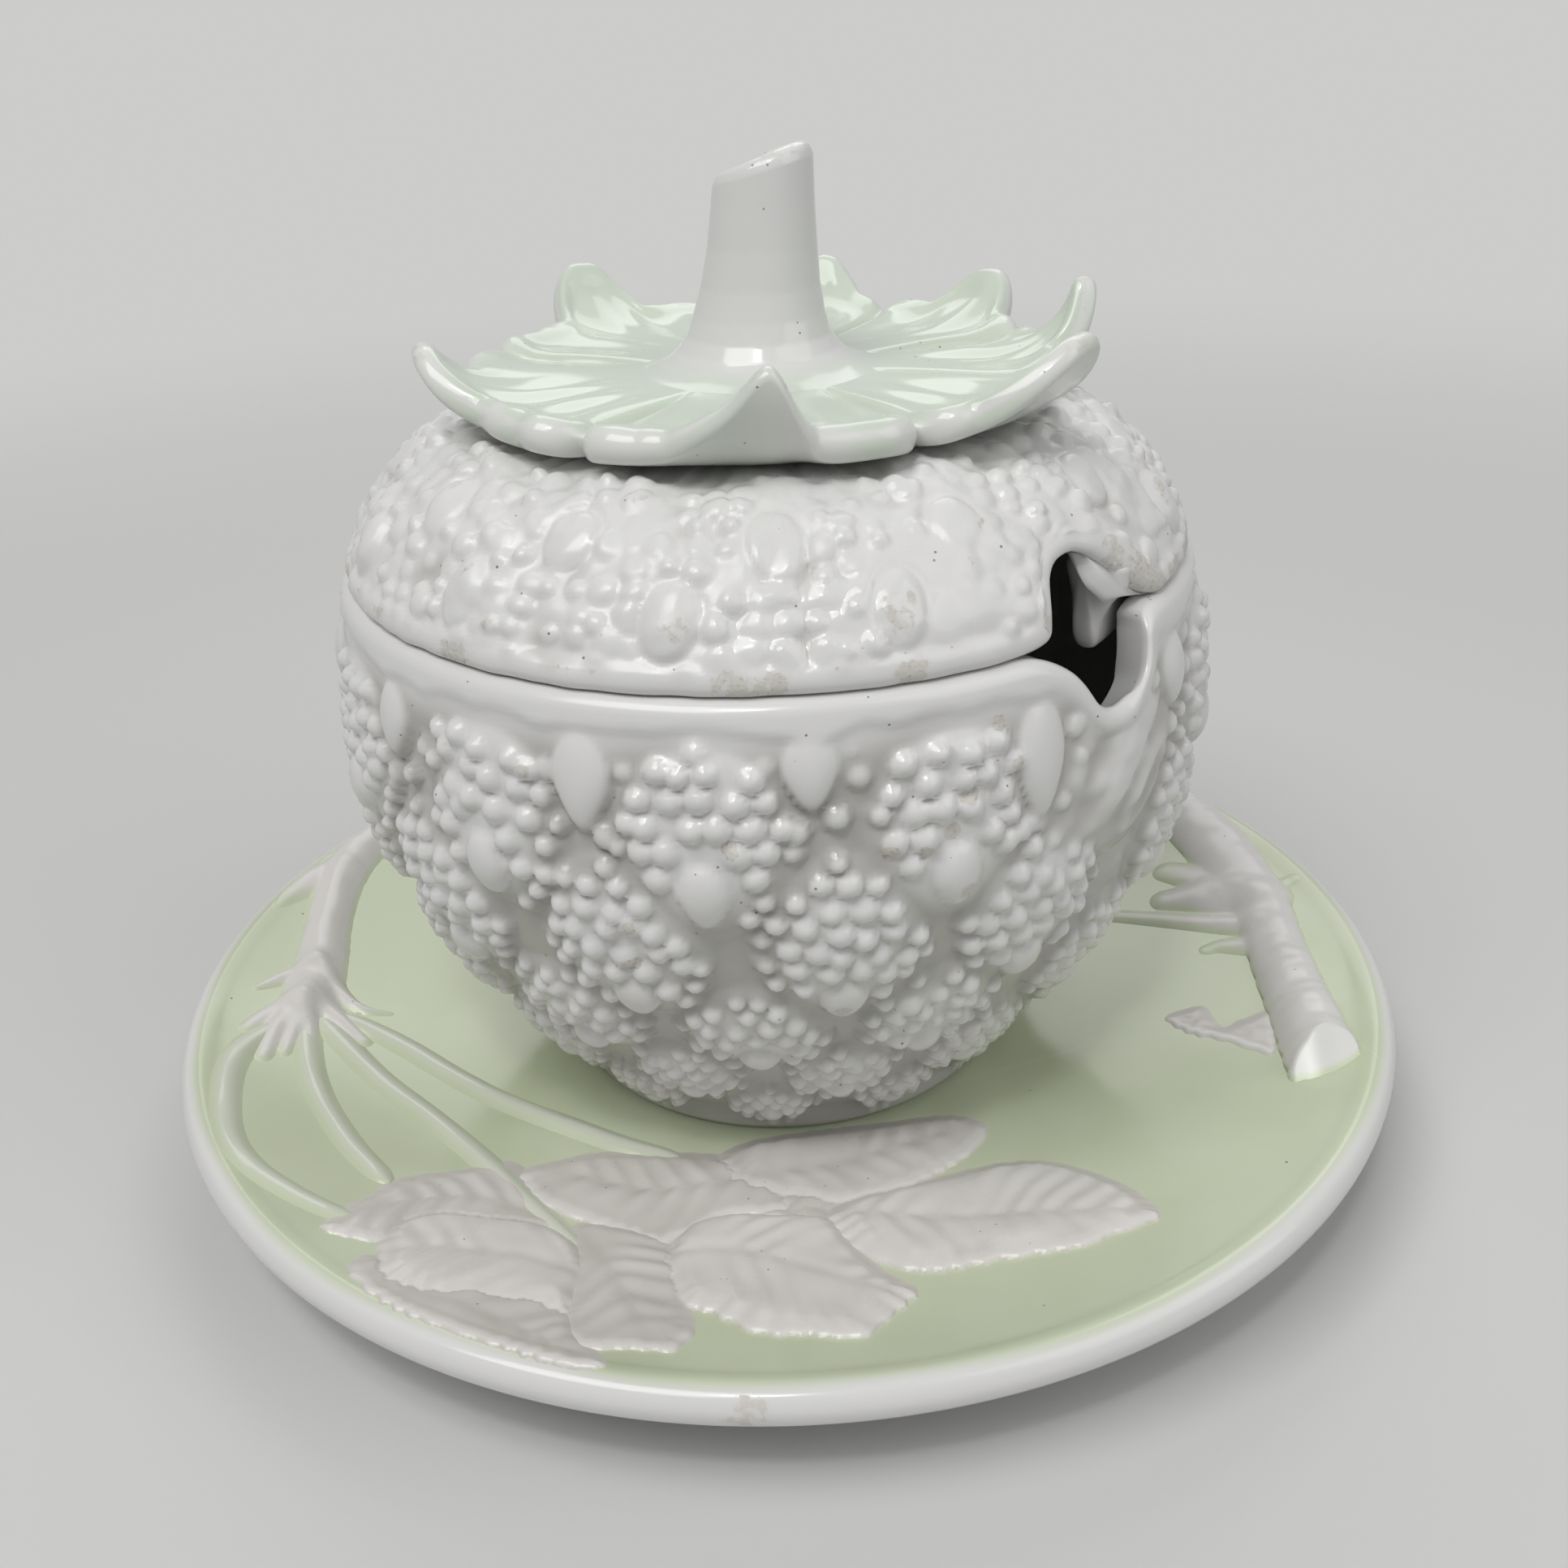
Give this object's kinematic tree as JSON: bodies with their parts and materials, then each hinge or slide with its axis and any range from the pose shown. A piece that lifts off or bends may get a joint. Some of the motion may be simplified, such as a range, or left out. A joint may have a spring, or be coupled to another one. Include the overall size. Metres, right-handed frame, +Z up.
{
  "type": "jam pot",
  "caption": "Fruit-shaped lidded jam pot with a leafy crown, a stalk handle and a spoon notch, loose on a dished saucer with relief leaves and canes.",
  "frame": {"origin": "on the table, under the middle of the saucer", "axes": "+Z up, +X from the middle through the spoon notch"},
  "size_m": [0.15, 0.15, 0.1134],
  "materials": {
    "white_glaze": "glossy white glaze, worn on high points",
    "green_glaze": "glossy pale green glaze, white at the rim",
    "leaf_glaze": "thin warm white glaze over relief",
    "mint_glaze": "glossy pale mint glaze, white at the edges"
  },
  "bodies": {
    "saucer": {"saucer": "green_glaze", "cane": "leaf_glaze", "leaf_stem": "leaf_glaze", "leaf_stalk_1": "green_glaze", "leaf_stalk_2": "green_glaze", "leaf_stalk_3": "green_glaze", "leaf_stalk_4": "green_glaze", "left_leaves": "leaf_glaze", "middle_leaves": "leaf_glaze", "right_leaves": "leaf_glaze", "small_leaf": "leaf_glaze"},
    "pot": {"pot": "white_glaze"},
    "lid": {"lid": "white_glaze", "crown": "mint_glaze", "stalk": "white_glaze"}
  },
  "joints": [
    {"name": "pot_lift", "type": "slide", "parent": "saucer", "child": "pot", "axis": [0, 0, 1], "range_m": [0, 0.05]},
    {"name": "lid_lift", "type": "slide", "parent": "pot", "child": "lid", "axis": [0, 0, 1], "range_m": [0, 0.05]}
  ]
}
